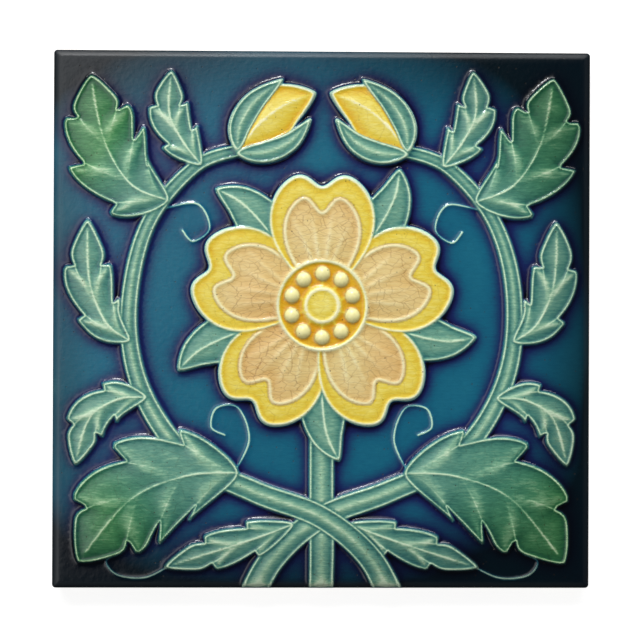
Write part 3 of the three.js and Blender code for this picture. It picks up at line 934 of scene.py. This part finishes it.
for size, width, strength in CRAZE_NETS:
    cells = add_node(tree, "ShaderNodeTexVoronoi",
                     [("voronoi_dimensions", "2D"), ("feature", "DISTANCE_TO_EDGE"),
                      ("Scale", 1 / (size * MM))],
                     [("Vector", wide_cells.outputs[0])])
    crack = add_node(tree, "ShaderNodeMapRange",
                     [("From Max", width / size), ("To Min", strength), ("To Max", 0.0)],
                     [("Value", cells.outputs["Distance"])])
    shown = add_node(tree, "ShaderNodeMath", [("operation", "MULTIPLY")],
                     [(0, crack.outputs[0]), (1, read["craze"])])
    mix = add_node(tree, "ShaderNodeMix",
                   [("data_type", "RGBA"), ("blend_type", "MULTIPLY"), (7, linear(CRAZE_STAIN))],
                   [(0, shown.outputs[0]), (6, colour)])
    colour = mix.outputs[2]
    relief = add_node(tree, "ShaderNodeMath", [("operation", "SUBTRACT")],
                      [(0, relief), (1, shown.outputs[0])]).outputs[0]

PIT_SPACING = 3.6
PIT_CORE = 0.09
PIT_RIM = 0.26
PIT_STRENGTH = 0.8
PIT_CHANCE = (0.55, 0.85)  # a cell's random value, from no pit to a full one
PIT_COLOUR = "#2c2014"
pits = add_node(tree, "ShaderNodeTexVoronoi",
                [("voronoi_dimensions", "2D"), ("Scale", 1 / (PIT_SPACING * MM))], [("Vector", here)])
spot = add_node(tree, "ShaderNodeMapRange",
                [("From Min", PIT_CORE / PIT_SPACING), ("From Max", PIT_RIM / PIT_SPACING),
                 ("To Min", PIT_STRENGTH), ("To Max", 0.0)], [("Value", pits.outputs["Distance"])])
few = add_node(tree, "ShaderNodeMapRange", [("From Min", PIT_CHANCE[0]), ("From Max", PIT_CHANCE[1])],
               [("Value", pits.outputs["Color"])])
pit = add_node(tree, "ShaderNodeMath", [("operation", "MULTIPLY")],
               [(0, spot.outputs[0]), (1, few.outputs[0])])
mix = add_node(tree, "ShaderNodeMix", [("data_type", "RGBA"), (7, linear(PIT_COLOUR))],
               [(0, pit.outputs[0]), (6, colour)])
colour = mix.outputs[2]

# %% [markdown]
# Lead glaze is heavier than window glass and bends light more, so it has a bright, wet gloss. Its skin
# is never quite flat: it dimples softly over the clay's grain, and it sinks at every crack and pit,
# which breaks up the reflections.

# %% Glossy lead glaze
LEAD_GLAZE_IOR = 1.6
GLOSS_ROUGHNESS = 0.13
RIM_ROUGHNESS = 0.5
DIMPLE_DEPTH = 0.06 * MM
level = add_node(tree, "ShaderNodeMath", [("operation", "SUBTRACT")],
                 [(0, relief), (1, pit.outputs[0])])
dimples = add_node(tree, "ShaderNodeBump", [("Strength", 0.6), ("Distance", DIMPLE_DEPTH)],
                   [("Height", level.outputs[0])])
rough = add_node(tree, "ShaderNodeMapRange", [("To Min", GLOSS_ROUGHNESS), ("To Max", RIM_ROUGHNESS)],
                 [("Value", read["dull"])])
body = add_node(tree, "ShaderNodeBsdfPrincipled", [("IOR", LEAD_GLAZE_IOR)],
                [("Base Color", colour), ("Roughness", rough.outputs[0]),
                 ("Normal", dimples.outputs["Normal"])])
add_node(tree, "ShaderNodeOutputMaterial", links=[("Surface", body.outputs[0])])
print(glaze.name, "has", len(tree.nodes), "nodes")

# %% [markdown]
# ## Bare clay
#
# The sides below the lip and the back are biscuit: fired buff clay, pressed in a die and never glazed.
# It is chalky to the eye, with a fine sandy grain and a slow mottle from the kiln.

# %% Bare fired clay
MOTTLE_SIZE = 7 * MM
SAND_SIZE = 0.7 * MM
SAND_DEPTH = 0.2 * MM
BUFF_STOPS = [(0.3, "#c2a880"), (0.5, "#d8c4a0"), (0.7, "#e6d7b9")]
biscuit, tree = new_material("bare_buff_earthenware")
here = add_node(tree, "ShaderNodeTexCoord").outputs["Object"]
mottle = add_node(tree, "ShaderNodeTexNoise", [("Scale", 1 / MOTTLE_SIZE), ("Detail", 4.0)],
                  [("Vector", here)])
ramp = add_node(tree, "ShaderNodeValToRGB", [("stops", BUFF_STOPS)], [("Fac", mottle.outputs["Fac"])])
sand = add_node(tree, "ShaderNodeTexNoise",
                [("Scale", 1 / SAND_SIZE), ("Detail", 5.0), ("Roughness", 0.7)], [("Vector", here)])
grit = add_node(tree, "ShaderNodeBump", [("Strength", 0.6), ("Distance", SAND_DEPTH)],
                [("Height", sand.outputs["Fac"])])
body = add_node(tree, "ShaderNodeBsdfPrincipled", [("Roughness", 0.85)],
                [("Base Color", ramp.outputs["Color"]), ("Normal", grit.outputs["Normal"])])
add_node(tree, "ShaderNodeOutputMaterial", links=[("Surface", body.outputs[0])])
print(biscuit.name, "has", len(tree.nodes), "nodes")

# %% Dressing the tile
mesh.materials.append(glaze)
mesh.materials.append(biscuit)
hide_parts("relief_tile")
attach(tile, "root")

# %% [markdown]
# ## Floor and light
#
# The tile lies on a plain white floor. A flat glossy face mirrors whatever is straight above it, and in
# the photograph that is dark, so the studio is dark overhead, and pale only a little way over to the
# left. A broad soft light beyond the top edge lights the upper side of each form and leaves the shade
# below it, and a weak one fills in from the right. The glaze doesn't mirror these two, because their
# glare would veil its colours. It mirrors a long strip that stands low beyond the top edge, which draws
# the fine second line at the foot of the upper walls, and a small lamp over the strip, which puts a soft
# glint on each bead and on the lines.

# %% White floor
FLOOR_HALF = 4.0
FLOOR_GREY = "#a0a0a0"
FLOOR_GLOW = 0.85
corners = [(-FLOOR_HALF, -FLOOR_HALF, 0), (FLOOR_HALF, -FLOOR_HALF, 0), (FLOOR_HALF, FLOOR_HALF, 0),
           (-FLOOR_HALF, FLOOR_HALF, 0)]
floor_mesh = bpy.data.meshes.new("floor")
floor_mesh.from_pydata(corners, [], [(0, 1, 2, 3)])
floor = bpy.data.objects.new("floor", floor_mesh)
bpy.context.scene.collection.objects.link(floor)
white, tree = new_material("white_paper_floor")
body = add_node(tree, "ShaderNodeBsdfPrincipled",
                [("Base Color", linear(FLOOR_GREY)), ("Roughness", 0.9),
                 ("Emission Color", linear("#ffffff")), ("Emission Strength", FLOOR_GLOW)])
add_node(tree, "ShaderNodeOutputMaterial", links=[("Surface", body.outputs[0])])
floor_mesh.materials.append(white)
floor.visible_glossy = False


# %% Soft lights
def soft_light(name, place, size, watts, mirrored=True):
    """A soft light that looks at the tile. Only a mirrored one shows in the glaze."""
    data = bpy.data.lights.new(name, "AREA")
    data.shape = "RECTANGLE"
    data.size, data.size_y = size
    data.energy = watts
    light = bpy.data.objects.new(name, data)
    light.location = place
    light.rotation_euler = (-Vector(place)).to_track_quat("-Z", "Y").to_euler()
    light.visible_glossy = mirrored
    bpy.context.scene.collection.objects.link(light)


soft_light("key_beyond_the_top", (-0.2, 0.9, 0.75), (1.1, 0.5), 7.5, mirrored=False)
soft_light("lamp_high_beyond_the_top", (-0.15, 0.8, 0.95), (0.22, 0.22), 4.2)
soft_light("strip_low_beyond_the_top", (-0.1, 1.1, 0.55), (1.8, 0.25), 7)
soft_light("fill_from_the_right", (1.1, -0.3, 1.0), (0.6, 0.8), 2, mirrored=False)

# %% The room's own light
PALE_SIDE = (-1, 0.6, 0)
DOME_STOPS = [(0.0, "#242424"), (0.49, "#242424"), (0.53, "#686868"), (0.56, "#969696"), (0.585, "#a8a8a8"),
              (0.64, "#f4f4f4"), (0.74, "#e8e8e8"), (0.84, "#929292"), (1.0, "#6a6a6a")]
WALL_GREY = "#2e2e2e"
WALL_TOP = 0.35  # from 0 at the horizon to 1 overhead
DOME_FROM = 0.65
ROOM_LIGHT = 1.35
world = bpy.data.worlds.new("studio")
world.use_nodes = True
tree = world.node_tree
tree.nodes.clear()
sky = add_node(tree, "ShaderNodeTexCoord").outputs["Generated"]
lit_side = add_node(tree, "ShaderNodeVectorMath", [("operation", "DOT_PRODUCT"), (1, PALE_SIDE)],
                    [(0, sky)])
place = add_node(tree, "ShaderNodeMapRange", [("From Min", -1.0)], [("Value", lit_side.outputs["Value"])])
dome = add_node(tree, "ShaderNodeValToRGB", [("stops", DOME_STOPS)], [("Fac", place.outputs[0])])
rise = add_node(tree, "ShaderNodeSeparateXYZ", links=[("Vector", sky)])
overhead = add_node(tree, "ShaderNodeMapRange", [("From Min", WALL_TOP), ("From Max", DOME_FROM)],
                    [("Value", rise.outputs["Z"])])
walls = add_node(tree, "ShaderNodeMix", [("data_type", "RGBA"), (6, linear(WALL_GREY))],
                 [(0, overhead.outputs[0]), (7, dome.outputs["Color"])])
air = add_node(tree, "ShaderNodeBackground", [("Strength", ROOM_LIGHT)], [("Color", walls.outputs[2])])
add_node(tree, "ShaderNodeOutputWorld", links=[("Surface", air.outputs[0])])
bpy.context.scene.world = world
bpy.context.scene.view_settings.view_transform = "Standard"
